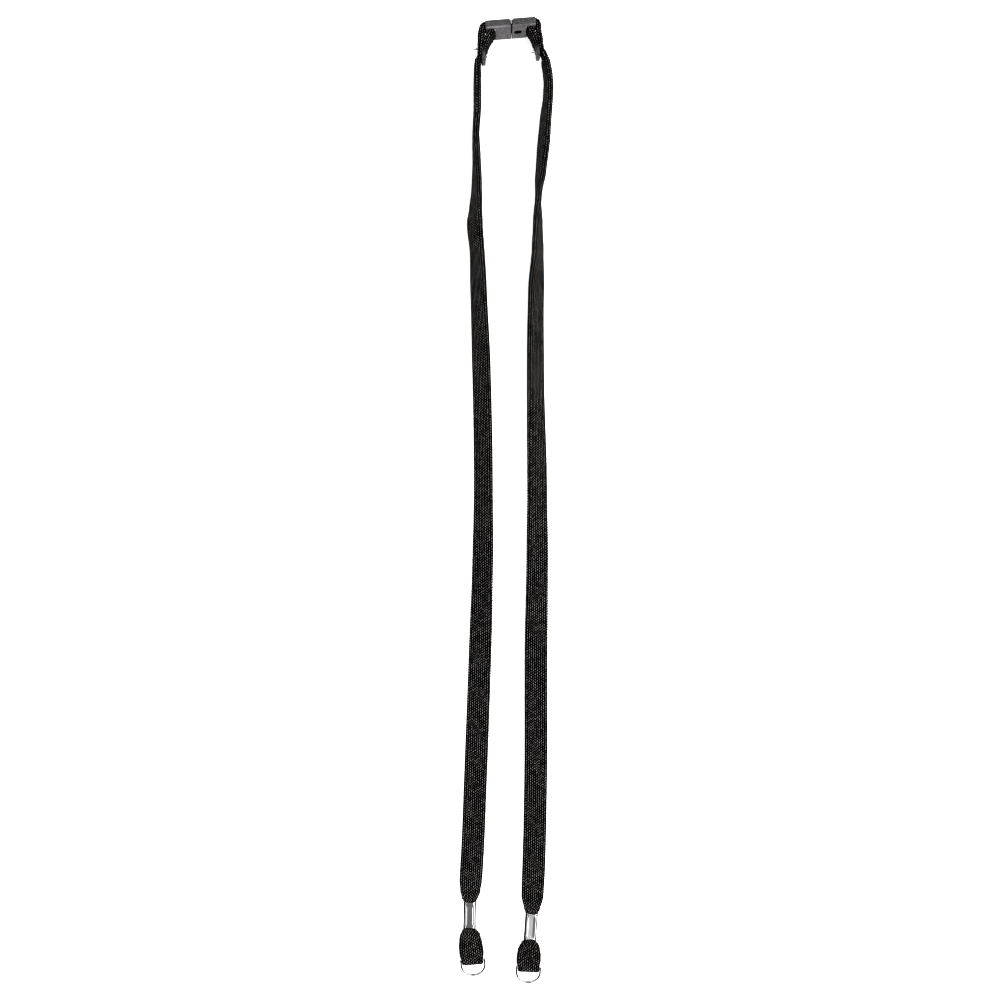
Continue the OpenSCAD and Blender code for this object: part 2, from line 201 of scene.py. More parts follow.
LOOP_W = (0.7, 0.92, 1.04, 1.07)     # shares of the strap's width, the last wider than the CAD's
LOOP_OPEN = (0.35, 0.7, 0.9, 1.0)


def on_plane(p, at, yaw):
    c, s = math.cos(deg(yaw)), math.sin(deg(yaw))
    return (at[0] + p[0] * c - p[1] * s, at[1] + p[0] * s + p[1] * c)


def strap_stations(half):
    """[x, y, lift, roll, width, thickness, yaw] at each station, from tail to ferrule."""
    body_l, bulge, way_in, way_out = half["fold"]
    bar_x = body_l + SLOT_L + BAR_L / 2
    lift = BUCKLE_Z - STRAP_W / 2
    fold = [(p[0], p[1], p[2]) for p in way_in]
    for a in range(180, -1, -30):
        r = FOLD_R + (bulge if a < 90 else FOLD_SLACK if a > 90 else 0)
        full = FOLD_FULL if bulge == MALE_BULGE and a <= 30 else 0.0
        fold.append(((r - full / 2) * math.cos(deg(a)), FOLD_Y + FOLD_R * math.sin(deg(a)),
                     STRAP_T + full))
    fold += [(p[0], p[1], p[2]) for p in way_out]
    out = []
    for x, y, t in fold:
        p = on_plane((half["side"] * (bar_x + x), y), BUCKLE_AT, BUCKLE_YAW)
        out.append((p[0], p[1], lift, 90.0, STRAP_W, t, 0.0))
    out += [(x, y, z, roll, STRAP_W * w, LOOSE_T * w, 0.0) for x, y, z, roll, w in half["main"]]

    def flat(p, z, w, t, yaw):
        return (p[0], p[1], z - t / 2, 0.0, w, t, yaw)

    def inside(d):
        return on_plane((0, -d), half["ferrule_at"], half["ferrule_yaw"])

    yaw = half["ring_yaw"]
    r = RING_WIRE / 2 + FIT_GAP + STRAP_T / 2
    on_top, below = FERRULE_Z + LAYER_Z, FERRULE_Z - LAYER_Z
    high, low = RING_Z + r, RING_Z - r
    ring_gap_w = RING_W - 2 * RING_WIRE - 2 * RING_PLAY
    for d in (-PAST, FERRULE_L + PAST):
        out.append(flat(inside(d), on_top, PINCH_W, PINCH_T, half["ferrule_yaw"]))
    for p, w, o in zip(half["loop"], LOOP_W, LOOP_OPEN):
        out.append(flat(p, on_top + (high - on_top) * o, STRAP_W * w, STRAP_T, yaw))
    for a in range(90, -91, -36):
        p = on_plane((0, -r * math.cos(deg(a))), half["ring_at"], yaw)
        out.append(flat(p, RING_Z + r * math.sin(deg(a)),
                        ring_gap_w + (RING_FULL if a > 0 else 0), STRAP_T, yaw))
    for p, w, o in reversed(list(zip(half["loop"], LOOP_W, LOOP_OPEN))):
        out.append(flat(p, below + (low - below) * o, STRAP_W * w * BELOW_SHARE, STRAP_T,
                        yaw))
    for d in (FERRULE_L + PAST, END_IN):
        out.append(flat(inside(d), below, PINCH_W, PINCH_T, half["ferrule_yaw"]))
    return out


ROUTE_STEP = 0.15       # distance between a route's points
FINE_STEP = 0.08        # and between the finer ones that they are read off


class Route:
    """A smooth line through the stations, with its frame at any distance along it."""

    def __init__(self, stations, side):
        mids, rest = [], []
        for x, y, lift, roll, w, t, yaw in stations:
            z = lift + w / 2 * abs(math.sin(deg(roll))) + t / 2 * abs(math.cos(deg(roll)))
            mids.append(Vector((x, y, z)))
            rest.append((roll, w, t, yaw))
        n = len(mids)
        knots = [0.0]
        for i in range(1, n):
            knots.append(knots[-1] + (mids[i] - mids[i - 1]).length)
        tangents = []
        for i in range(n):
            if 0 < i < n - 1:
                a, b = knots[i] - knots[i - 1], knots[i + 1] - knots[i]
                da, db = (mids[i] - mids[i - 1]) / a, (mids[i + 1] - mids[i]) / b
                tangents.append(((da * b + db * a) / (a + b)).normalized())
            else:
                j = 1 if i == 0 else n - 1
                tangents.append((mids[j] - mids[j - 1]).normalized())
        fine = []
        for i in range(n - 1):
            h = knots[i + 1] - knots[i]
            count = max(2, int(h / FINE_STEP))
            for k in range(count + (1 if i == n - 2 else 0)):
                u = k / count
                p = (mids[i] * (2 * u**3 - 3 * u**2 + 1) + tangents[i] * h * (u**3 - 2 * u**2 + u)
                     + mids[i + 1] * (3 * u**2 - 2 * u**3) + tangents[i + 1] * h * (u**3 - u**2))
                s = u * u * (3 - 2 * u)
                fine.append((p, [a + (b - a) * s for a, b in zip(rest[i], rest[i + 1])]))
        walked = [0.0]
        for i in range(1, len(fine)):
            walked.append(walked[-1] + (fine[i][0] - fine[i - 1][0]).length)
        self.length = walked[-1]
        self.count = int(round(self.length / ROUTE_STEP)) + 1
        self.step = self.length / (self.count - 1)
        self.mid, self.data = [], []
        j = 0
        for i in range(self.count):
            s = min(i * self.step, self.length)
            while j < len(fine) - 2 and walked[j + 1] < s:
                j += 1
            f = (s - walked[j]) / max(1e-9, walked[j + 1] - walked[j])
            f = min(1.0, max(0.0, f))
            self.mid.append(fine[j][0].lerp(fine[j + 1][0], f))
            self.data.append([a + (b - a) * f for a, b in zip(fine[j][1], fine[j + 1][1])])
        self.across, self.up = [], []
        for i in range(self.count):
            a = self.mid[max(0, i - 2)]
            b = self.mid[min(self.count - 1, i + 2)]
            ahead = (b - a).normalized()
            roll, w, t, yaw = self.data[i]
            lean = Vector((-side * math.cos(deg(roll)) * math.cos(deg(yaw)),
                           -side * math.cos(deg(roll)) * math.sin(deg(yaw)), math.sin(deg(roll))))
            across = (lean - ahead * lean.dot(ahead)).normalized()
            self.across.append(across)
            self.up.append(ahead.cross(across))

    def index(self, i):
        return min(self.count - 1, max(0, i))


def flat_oval(w, t, share):
    """Point and outward normal on the flattened tube's outline at a share of its perimeter."""
    r = t / 2
    straight = max(0.01, w - t)
    total = 2 * straight + 2 * math.pi * r
    s = (share % 1.0) * total
    # starts in the middle of the end at +x
    if s < math.pi * r / 2:
        a = s / r
        return (straight / 2 + r * math.cos(a), r * math.sin(a)), (math.cos(a), math.sin(a))
    s -= math.pi * r / 2
    if s < straight:
        return (straight / 2 - s, r), (0.0, 1.0)
    s -= straight
    if s < math.pi * r:
        a = math.pi / 2 + s / r
        return (-straight / 2 + r * math.cos(a), r * math.sin(a)), (math.cos(a), math.sin(a))
    s -= math.pi * r
    if s < straight:
        return (-straight / 2 + s, -r), (0.0, -1.0)
    s -= straight
    a = 1.5 * math.pi + s / r
    return (straight / 2 + r * math.cos(a), r * math.sin(a)), (math.cos(a), math.sin(a))


# ---------------------------------------------------------------- the braided straps
COLUMNS = 24            # grains round the braid
PER_COLUMN = 2          # points across each grain
PER_ROW = 4             # points along each grain
RELIEF = 0.34           # how deep the gaps between the grains are, mm
SHEAR = 3               # half the slant of a grain, in steps of the route
PROUD = 0.20            # how far the grains' tops stand over the plain outline where it runs free
GRAIN = (0.0, 0.82, 1.0, 0.82)
MELT_L = 3.4            # length of the sealed tail
FOLD_L = 30             # how far along the strap the fold ends
FREE_FROM, FREE_TO = 33, 39      # where along the strap it comes to run free
LEAST_Z = 0.02          # the strap's height over the table, at least
# painted shade: FLANK_SHADE lowers the colour's height value on faces that look sideways or down
FLANK_SHADE = 0.22      # how much the faces that look down are darkened


def braid(name, route, seed, ferrule_y, ring_y):
    """The braid as one closed surface: zigzag rows of slanted grains with deep gaps between."""
    rng = random.Random(seed)
    around = COLUMNS * PER_COLUMN
    steps = 2                                   # route steps for each ring of points
    rings = (route.count - 1) // steps + 1
    rows = rings // PER_ROW + 2
    far_y = ferrule_y - FERRULE_L
    lift_of = [[rng.uniform(0.78, 1.08) for _ in range(rows)] for _ in range(COLUMNS)]
    verts, lift, melt = [], [], []
    for i in range(rings):
        s = i * steps * route.step
        melted = 1 - smoothstep(MELT_L * 0.6, MELT_L * 1.25, s)
        tip = min(1.0, s / 1.7)
        shrink = 0.12 + 0.88 * math.sqrt(max(0.0, 1 - (1 - tip) ** 2))
        for k in range(around):
            column = k // PER_COLUMN
            centre = k % PER_COLUMN
            if centre:
                shear = 0
                phase = (i + 2 * (column % 2)) % PER_ROW
                row = (i + 2 * (column % 2)) // PER_ROW
                height = GRAIN[phase] * lift_of[column][row]
            else:
                shear = SHEAR if column % 2 == 0 else -SHEAR
                height = 0.36 + 0.12 * rng.random()
            j = route.index(i * steps + shear)
            roll, w, t, yaw = route.data[j]
            squeeze = 1 - 0.10 * melted
            y = route.mid[j].y
            free = max(smoothstep(FREE_FROM, FREE_TO, s)
                       * smoothstep(ferrule_y + 0.5, ferrule_y + 5, y),
                       smoothstep(ring_y + 0.3, ring_y + 2, y)
                       * (1 - smoothstep(far_y - 2.5, far_y - 0.8, y)),
                       0.4 if s < FOLD_L else 0.0)
            inset = RELIEF - PROUD * free
            (x, y), (nx, ny) = flat_oval((w - 2 * inset) * (1 - 0.12 * melted),
                                         (t - 2 * inset) * squeeze, k / around)
            relief = RELIEF * (1 - 0.95 * melted)
            h = relief * height + (RELIEF - relief) * 0.7
            x, y = (x + nx * h) * (shrink * 0.35 + 0.65), (y + ny * h) * shrink
            p = route.mid[j] + route.across[j] * x + route.up[j] * y
            p.z = max(p.z, LEAST_Z)
            # painted shade on the braid's flanks: where the surface looks sideways or down, the
            # height value that sets the colour is lowered
            facing = (route.across[j] * nx + route.up[j] * ny).z
            height *= 1 - FLANK_SHADE * (1 - smoothstep(0.0, 0.35, facing))
            verts.append(p * MM)
            lift.append(height)
            melt.append(melted)
    faces, uvs = [], []
    for i in range(rings - 1):
        for k in range(around):
            a, b = i * around + k, i * around + (k + 1) % around
            faces.append((a, a + around, b + around, b))
            u0, u1 = k / PER_COLUMN, (k + 1) / PER_COLUMN
            v0, v1 = i / PER_ROW, (i + 1) / PER_ROW
            uvs += [(u0, v0), (u0, v1), (u1, v1), (u1, v0)]
    for base, sign in ((0, 1), ((rings - 1) * around, -1)):
        centre = len(verts)
        ring = verts[base:base + around]
        verts.append(sum(ring, Vector()) / around)
        lift.append(0.5)
        melt.append(melt[base])
        for k in range(around):
            a, b = base + k, base + (k + 1) % around
            faces.append((centre, a, b) if sign > 0 else (centre, b, a))
            uvs += [(0.5, base / around), (0.3, base / around), (0.7, base / around)]
    obj = mesh_object(name, verts, faces)
    mesh = obj.data
    layer = mesh.uv_layers.new(name="braid")
    layer.data.foreach_set("uv", [c for uv in uvs for c in uv])
    for attribute, values in (("lift", lift), ("melt", melt)):
        mesh.attributes.new(attribute, "FLOAT", "POINT").data.foreach_set("value", values)
    return obj


straps = {}
for hand, half in SIDES.items():
    route = Route(strap_stations(half), half["side"])
    strap = braid(f"{hand}_braid", route, half["seed"], half["ferrule_at"][1],
                  half["ring_at"][1])
    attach(strap, half["body"])
    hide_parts(f"{hand}_strap")
    straps[hand] = strap


# ---------------------------------------------------------------- buckle halves
EDGE_R = 0.12           # rounding of the moulding's edges


def bevelled(node, name):
    """The CAD part with its sharp edges rounded off, as a moulding's are."""
    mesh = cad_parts[node].data.copy()
    obj = link(bpy.data.objects.new(name, mesh))
    bm = bmesh.new()
    bm.from_mesh(mesh)
    bmesh.ops.remove_doubles(bm, verts=bm.verts, dist=2e-6)
    bmesh.ops.dissolve_limit(bm, angle_limit=deg(1.0), verts=bm.verts, edges=bm.edges)
    sharp = [e for e in bm.edges if len(e.link_faces) == 2 and e.calc_face_angle(0) > deg(28)]
    bmesh.ops.bevel(bm, geom=sharp, offset=EDGE_R * MM, offset_type="OFFSET",
                    segments=3, profile=0.5, affect="EDGES", clamp_overlap=True)
    # the tongue is marked so that the plastic's colour can paint it in shade
    inner = bm.verts.layers.float.new("inner")      # 1 on the male half's tongue
    for v in bm.verts:
        from_seam = (v.co.x / MM - BUCKLE_AT[0], v.co.y / MM - BUCKLE_AT[1])
        x = on_plane(from_seam, (0, 0), -BUCKLE_YAW)[0]
        v[inner] = 1.0 if node.startswith("male") and x > 0.05 else 0.0
    bmesh.ops.triangulate(bm, faces=[f for f in bm.faces if len(f.verts) > 4])
    bm.to_mesh(mesh)
    bm.free()
    mesh.materials.clear()
    mesh.polygons.foreach_set("use_smooth", [True] * len(mesh.polygons))
    mesh.set_sharp_from_angle(angle=deg(32))
    return obj


buckle = {}
for node, body in (("female_buckle_half", "female_side"), ("male_buckle_half", "male_side")):
    piece = bevelled(node, node.replace("half", "moulding"))
    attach(piece, body)
    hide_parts(node)
    buckle[node] = piece


# ---------------------------------------------------------------- bar tacks
TACK_SHARE = 0.8        # length of a row, as a share of the strap's width
TACK_TURNS = 17
THREAD_R = 0.13
WHISKER_R = 0.22
# zigzag points beside each turn: along the sewn stretch, and off the strap's face
TACK_STITCH = ((-0.03, -0.35), (0.06, 0.10), (0.3, 0.2))


def bar_tack(half, seed):
    """Zigzag rows of thread over both faces of the sewn stretch."""
    rng = random.Random(seed)
    sewn = []
    for x, y, lift, roll, w, t, yaw in strap_stations(half):
        if t == SEWN_T:
            sewn.append(Vector((x, y, lift + w / 2)))
    parts = []
    tack_h, rows = STRAP_W * TACK_SHARE, TACK_TURNS
    for start, end, other in ((sewn[0], sewn[1], sewn[2]), (sewn[2], sewn[3], sewn[1])):
        run = end - start
        side = run.normalized().cross(Vector((0, 0, 1)))
        away = side * (1 if side.dot(start - other) > 0 else -1)
        points = []
        for i in range(rows * 2 + 1):
            f = 0.08 if i % 2 == 0 else 0.92
            z = -tack_h / 2 + tack_h * i / (rows * 2)
            for k, (df, dive) in enumerate(TACK_STITCH):
                share = f + (df if f < 0.5 else -df)
                points.append(start + run * share + away * (SEWN_T / 2 - 0.06 + dive)
                              + Vector((0, 0, z + 0.04 * k + rng.uniform(-0.05, 0.05))))
        parts.append(tube(points, THREAD_R))
    return parts


def whisker(at, towards, length, seed):
    """A loose thread end: a thin tube that wanders off from a point."""
    rng = random.Random(seed)
    points, p, d = [], Vector(at), Vector(towards).normalized()
    for i in range(9):
        points.append(p.copy())
        d = (d + Vector([rng.uniform(-0.25, 0.25) for _ in range(3)])).normalized()
        p += d * length / 8
    return tube(points, WHISKER_R, 5, taper=lambda s: 1 - 0.6 * s)


# The loose ends, each (start, direction, length).
WHISKERS = {"left": [((-9.8, 205.4, 12.0), (-1.0, -0.3, 0.1), 2.1),
                     ((-9.8, 205.9, 11.4), (-1.0, 0.3, 0.2), 1.3),
                     ((-6.7, 203.3, 12.0), (0.75, -0.75, 0.1), 2.2),
                     ((-6.8, 203.9, 11.4), (1.0, -0.2, 0.2), 1.4)],
            "right": [((16.1, 204.7, 12.0), (-0.8, -0.75, 0.1), 2.2),
                      ((16.2, 205.2, 11.4), (-1.0, 0.1, 0.2), 1.4)]}
tacks = []
for hand, half in SIDES.items():
    parts = bar_tack(half, 5)
    for i, (at, towards, length) in enumerate(WHISKERS[hand]):
        parts.append(whisker(at, towards, length, 40 + i))
    verts, faces = joined(parts)
    tack = mesh_object(f"{hand}_stitching", [v * MM for v in verts], faces)
    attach(tack, half["body"])
    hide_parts(f"{hand}_bar_tack")
    tacks.append(tack)


# ---------------------------------------------------------------- ferrules
def ferrule_outline(count, w, h, r):
    """Points and normals round a rectangle with round corners, starting at its right middle."""
    arc = math.pi * r / 2
    spans = [h / 2 - r, arc, w - 2 * r, arc, h - 2 * r, arc, w - 2 * r, arc, h / 2 - r]
    total = sum(spans)
    out = []
    for i in range(count):
        s = total * i / count
        if s < spans[0]:
            out.append(((w / 2, s), (1, 0)))
            continue
        s -= spans[0]
        # each corner's centre and first angle, and the straight side that follows it
        corners = [(w / 2 - r, h / 2 - r, 0, w - 2 * r),
                   (-w / 2 + r, h / 2 - r, 90, h - 2 * r),
                   (-w / 2 + r, -h / 2 + r, 180, w - 2 * r),
                   (w / 2 - r, -h / 2 + r, 270, h / 2 - r)]
        for cx, cy, a0, length in corners:
            if s < arc:
                a = deg(a0) + s / r
                out.append(((cx + r * math.cos(a), cy + r * math.sin(a)),
                            (math.cos(a), math.sin(a))))
                break
            s -= arc
            if s < length:
                a = deg(a0 + 90)
                n = (math.cos(a), math.sin(a))
                start = (cx + r * n[0], cy + r * n[1])
                ahead = (-n[1], n[0])
                out.append(((start[0] + ahead[0] * s, start[1] + ahead[1] * s), n))
                break
            s -= length
        else:
            out.append(((w / 2, 0.0), (1, 0)))
    return out


def ferrule(name, at, yaw, roll):
    """A crimped sheet tube: arched rims with rolled lips and a pressed channel along its top."""
    around, along = 96, 44
    outer = ferrule_outline(around, FERRULE_W - 0.1, FERRULE_H - 0.1, 1.9)
    wall = FERRULE_WALL - 0.08
    lip = ((wall * 0.8, 0.03), (0.10, 0.0), (-0.05, 0.16))   # inset and distance from the rim

    def rims(x):
        arch = max(0.0, 1 - (x / 3.3) ** 2)
        return -0.45 + 0.7 * arch ** 1.2, FERRULE_L - 0.05 - 0.95 * arch ** 0.9

    def point(x, y, n, d, inset):
        """Outline point at distance d along the tube, with the pressed channel taken off."""
        px, py = x - n[0] * inset, y - n[1] * inset
        if y > 0:
            ends = smoothstep(0.5, 3.2, d) * (1 - smoothstep(FERRULE_L - 2.7, FERRULE_L - 1.4, d))
            py -= 0.26 * math.exp(-((x / 1.85) ** 6)) * ends
        waist = 0.16 * math.sin(math.pi * min(1, max(0, d / FERRULE_L)))
        return px * (1 - waist / FERRULE_W), py, d

    # outer face from the near rim to the far one, then back along the inner face
    stations = [("near", i) for i in (0, 1, 2)] + [("out", i / along) for i in range(1, along)]
    stations += [("far", i) for i in (2, 1, 0)]
    stations += [("in", i) for i in (0.98, 0.75, 0.5, 0.25, 0.02)]
    verts, faces, rings = [], [], []
    for kind, f in stations:
        ring = []
        for (x, y), n in outer:
            near, far = rims(x)
            if kind == "near":
                inset, d = lip[f][0], near + lip[f][1]
            elif kind == "far":
                inset, d = lip[f][0], far - lip[f][1]
            elif kind == "out":
                inset = 0.0 if 0.04 < f < 0.96 else -0.03
                d = near + 0.16 + (far - near - 0.32) * f
            else:
                inset, d = wall, near + 0.2 + (far - near - 0.4) * f
            ring.append(point(x, y, n, d, inset))
        rings.append(ring)
    cr, sr = math.cos(deg(roll)), math.sin(deg(roll))
    rings = [[(x * cr - y * sr, x * sr + y * cr, d) for x, y, d in ring] for ring in rings]
    for ring in rings:
        for x, y, d in ring:
            px, py = on_plane((x, -d), at, yaw)
            verts.append(Vector((px, py, max(0.0, FERRULE_Z + y))) * MM)
    count = len(rings)
    for i in range(count):
        for k in range(around):
            a, b = i * around + k, i * around + (k + 1) % around
            j = ((i + 1) % count) * around
            faces.append((a, j + k, j + (k + 1) % around, b))
    return outward(mesh_object(name, verts, faces))


# ---------------------------------------------------------------- end rings
RING_R = (RING_W - RING_WIRE) / 2
RING_SIDE = RING_DEPTH - RING_WIRE / 2 - RING_R
RING_CORNER = 0.7
RING_TILT = math.asin((RING_Z - RING_WIRE / 2) / (RING_SIDE + RING_R))


def end_ring(name, at, yaw):
    """A loop of round wire, bent from a straight bar into a half-round bow."""
    half = RING_R - RING_CORNER
    line = [(-half + 2 * half * i / 18, 0.0) for i in range(18)]
    line += [(half + RING_CORNER * math.sin(deg(a)),
              -RING_CORNER + RING_CORNER * math.cos(deg(a))) for a in range(0, 90, 9)]
    line += [(RING_R, -RING_CORNER - (RING_SIDE - RING_CORNER) * i / 5) for i in range(5)]
    line += [(RING_R * math.cos(deg(a)), -RING_SIDE - RING_R * math.sin(deg(a)))
             for a in range(0, 180, 3)]
    line += [(-RING_R, -RING_SIDE + (RING_SIDE - RING_CORNER) * i / 5) for i in range(5)]
    line += [(-half - RING_CORNER * math.cos(deg(a)),
              -RING_CORNER + RING_CORNER * math.sin(deg(a))) for a in range(0, 90, 9)]
    verts, faces = tube([(x, y, 0) for x, y in line], RING_WIRE / 2, 20, close=True)
    place = (Matrix.Translation(Vector((at[0], at[1], RING_Z)))
             @ Matrix.Rotation(deg(yaw), 4, "Z") @ Matrix.Rotation(RING_TILT, 4, "X"))
    return outward(mesh_object(name, [(place @ v) * MM for v in verts], faces))


chrome_pieces = []
for hand, half in SIDES.items():
    piece = ferrule(f"{hand}_crimp", half["ferrule_at"], half["ferrule_yaw"],
                    half["ferrule_roll"])
    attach(piece, half["body"])
    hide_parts(f"{hand}_ferrule")
    chrome_pieces.append(piece)
    piece = end_ring(f"{hand}_wire_ring", half["ring_at"], half["ring_yaw"])
    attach(piece, half["ring_body"])
    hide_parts(f"{hand}_end_ring")
    chrome_pieces.append(piece)


# ---------------------------------------------------------------- materials
class Nodes:
    """A short way to write a material's node tree."""

    def __init__(self, name, world=False):
        holder = bpy.data.worlds.new(name) if world else bpy.data.materials.new(name)
        holder.use_nodes = True
        self.holder, self.tree = holder, holder.node_tree
        self.tree.nodes.clear()

    def new(self, kind, inputs=(), **settings):
        node = self.tree.nodes.new(kind)
        for key, value in settings.items():
            setattr(node, key, value)
        for key, value in dict(inputs).items():
            socket = node.inputs[key]
            if isinstance(value, bpy.types.NodeSocket):
                self.tree.links.new(value, socket)
            else:
                socket.default_value = value
        return node

    def math(self, operation, a, b=0.0, clamp=False):
        node = self.new("ShaderNodeMath", {0: a, 1: b}, operation=operation, use_clamp=clamp)
        return node.outputs[0]

    def ramp(self, fac, stops):
        """A colour ramp of (place, grey or colour)."""
        node = self.new("ShaderNodeValToRGB", {"Fac": fac})
        elements = node.color_ramp.elements
        while len(elements) < len(stops):
            elements.new(0.5)
        for element, (place, colour) in zip(elements, stops):
            element.position = place
            element.color = (*colour, 1) if isinstance(colour, tuple) else (colour,) * 3 + (1,)
        return node.outputs[0]

    def mix(self, fac, a, b):
        node = self.new("ShaderNodeMix", data_type="RGBA")
        for index, value in ((0, fac), (6, a), (7, b)):
            if isinstance(value, bpy.types.NodeSocket):
                self.tree.links.new(value, node.inputs[index])
            elif index:
                node.inputs[index].default_value = (*value, 1)
            else:
                node.inputs[index].default_value = value
        return node.outputs[2]

    def noise(self, vector, scale, detail=3.0, roughness=0.5):
        return self.new("ShaderNodeTexNoise", {"Vector": vector, "Scale": scale, "Detail": detail,
                                               "Roughness": roughness}).outputs[0]

    def surface(self, **inputs):
        bsdf = self.new("ShaderNodeBsdfPrincipled",
                        {k.replace("_", " "): v for k, v in inputs.items()})
        self.new("ShaderNodeOutputMaterial", {"Surface": bsdf.outputs[0]})
        return self.holder

    def stretched(self, vector, scale):
        return self.new("ShaderNodeMapping", {"Vector": vector, "Scale": scale}).outputs[0]

    def bump(self, height, strength, distance):
        inputs = {"Height": height, "Strength": strength, "Distance": distance}
        return self.new("ShaderNodeBump", inputs).outputs[0]


def braid_material():
    m = Nodes("braid")
    uv = m.new("ShaderNodeUVMap", uv_map="braid").outputs[0]
    place = m.new("ShaderNodeTexCoord").outputs["Object"]
    lift = m.new("ShaderNodeAttribute", attribute_name="lift").outputs["Fac"]
    melt = m.new("ShaderNodeAttribute", attribute_name="melt").outputs["Fac"]
    # filaments run along each slanted grain, which the map holds level
    filament = m.noise(m.stretched(uv, (1.2, 11.0, 1.0)), 1.6, 2.0, 0.6)
    grains = m.noise(m.stretched(uv, (0.7, 0.9, 1.0)), 1.0, 1.0)
    wear = m.noise(place, 60.0, 3.0)
    # painted shade and highlight: by the grains' height, the gaps between them are painted near
    # black and their crests light
    body = m.ramp(lift, [(0.47, (0.0001, 0.0001, 0.0001)), (0.60, (0.002, 0.002, 0.002)),
                         (0.74, (0.048, 0.045, 0.043)), (0.95, (0.130, 0.121, 0.116))])
    shade = m.math("ADD", m.math("MULTIPLY", filament, 1.3), m.math("MULTIPLY", grains, 0.9))
    shade = m.math("MULTIPLY", shade, m.math("ADD", m.math("MULTIPLY", wear, 0.8), 0.55))
    tone = m.new("ShaderNodeMix", {0: 1.0}, data_type="RGBA", blend_type="MULTIPLY")
    m.tree.links.new(body, tone.inputs[6])
    m.tree.links.new(m.ramp(shade, [(0.25, 0.3), (0.7, 1.0), (1.0, 1.6)]), tone.inputs[7])
    sealed = m.math("MULTIPLY", melt, m.math("ADD", m.math("MULTIPLY", wear, 1.1), 0.1),
                    clamp=True)
    colour = m.mix(sealed, tone.outputs[2], (0.050, 0.051, 0.058))
    shine = m.math("ADD", m.math("MULTIPLY", melt, 0.5), 0.012)
    rough = m.math("SUBTRACT", m.math("ADD", m.math("MULTIPLY", filament, 0.25), 0.50),
                   m.math("MULTIPLY", melt, 0.32))
    normal = m.bump(filament, 0.7, 0.00008)
    return m.surface(Base_Color=colour, Roughness=rough, Normal=normal, Specular_IOR_Level=shine)


def thread_material():
    m = Nodes("thread")
    place = m.new("ShaderNodeTexCoord").outputs["Object"]
    twist = m.new("ShaderNodeTexWave", {"Vector": place, "Scale": 2600.0, "Distortion": 1.5},
                  bands_direction="DIAGONAL").outputs["Fac"]
    fluff = m.noise(place, 2500.0, 3.0)
    colour = m.ramp(m.math("MULTIPLY", twist, fluff), [(0.05, (0.003, 0.003, 0.003)),
                                                       (0.6, (0.030, 0.029, 0.030))])
    rough = m.math("ADD", m.math("MULTIPLY", fluff, 0.3), 0.45)
    return m.surface(Base_Color=colour, Roughness=rough, Normal=m.bump(twist, 0.6, 0.00005))


def plastic_material():
    m = Nodes("buckle_plastic")
    place = m.new("ShaderNodeTexCoord").outputs["Object"]
    inner = m.new("ShaderNodeAttribute", attribute_name="inner").outputs["Fac"]
    c, s = math.cos(deg(BUCKLE_YAW)), math.sin(deg(BUCKLE_YAW))

    def along(direction):
        """Distance from the buckle's middle in its own frame, in mm."""
        start = sum(a * b for a, b in zip((*BUCKLE_AT, 0), direction))
        dot = m.new("ShaderNodeVectorMath", {0: place, 1: direction}, operation="DOT_PRODUCT")
        return m.math("SUBTRACT", m.math("MULTIPLY", dot.outputs["Value"], 1000.0), start)

    def between(value, low, high):
        node = m.new("ShaderNodeMapRange", {"Value": value, "From Min": low, "From Max": high},
                     interpolation_type="SMOOTHSTEP")
        return node.outputs[0]

    x, y, z = along((c, s, 0)), along((-s, c, 0)), along((0, 0, 1))
    speckle = m.noise(place, 2100.0, 3.0, 0.7)
    cloud = m.noise(place, 420.0, 4.0)
    grain = m.math("ADD", m.math("MULTIPLY", speckle, 0.75), m.math("MULTIPLY", cloud, 0.25))
    colour = m.ramp(grain,
                    [(0.34, (0.016, 0.015, 0.016)), (0.50, (0.074, 0.070, 0.074)),
                     (0.66, (0.190, 0.181, 0.188))])
    # painted shade makes the side rail's face darker
    top = between(z, BUCKLE_W - 0.5, BUCKLE_W - 0.1)
    colour = m.mix(m.math("MULTIPLY", top, 0.35), colour, (0.030, 0.029, 0.030))
    # painted highlight along the rail's front corner, broken up with noise and stronger towards the
    # left
    front = m.math("MULTIPLY", between(y, 0.75 - BUCKLE_T / 2, 0.3 - BUCKLE_T / 2),
                   between(z, BUCKLE_W - 0.75, BUCKLE_W - 0.45))
    painted_corner_highlight = m.math("MULTIPLY", front, m.math("ADD", m.math("MULTIPLY", between(x, 4.0, -8.0), 0.5),
                                            m.math("MULTIPLY", cloud, 0.6)), clamp=True)
    colour = m.mix(m.math("MULTIPLY", painted_corner_highlight, m.math("MULTIPLY", speckle, 1.5), clamp=True), colour,
                   (0.36, 0.35, 0.36))
    # painted shade: the seam, a disc at the latch window (painted on the half's back face too) and
    # the whole tongue are made near black
    hole_x, hole_z = m.math("SUBTRACT", x, WINDOW_FROM_SEAM), m.math("SUBTRACT", z, BUCKLE_Z)
    reach = m.math("SQRT", m.math("ADD", m.math("MULTIPLY", hole_x, hole_x),
                                  m.math("MULTIPLY", hole_z, hole_z)))
    seam_and_window_shade = m.math("MAXIMUM", m.math("MULTIPLY", between(m.math("ABSOLUTE", x), 0.50, 0.24), 0.97),
                  m.math("MULTIPLY", between(reach, 2.0, 1.7), 0.97))
    colour = m.mix(m.math("MAXIMUM", seam_and_window_shade, m.math("MULTIPLY", inner, 0.95)), colour,
                   (0.0015, 0.0015, 0.0016))
    rough = m.math("ADD", m.math("MULTIPLY", speckle, 0.25), 0.40)
    shine = m.math("SUBTRACT", 0.22, m.math("MULTIPLY", m.math("MAXIMUM", seam_and_window_shade, inner), 0.2))
    return m.surface(Base_Color=colour, Roughness=rough, Normal=m.bump(speckle, 0.35, 0.00004),
                     Specular_IOR_Level=shine)


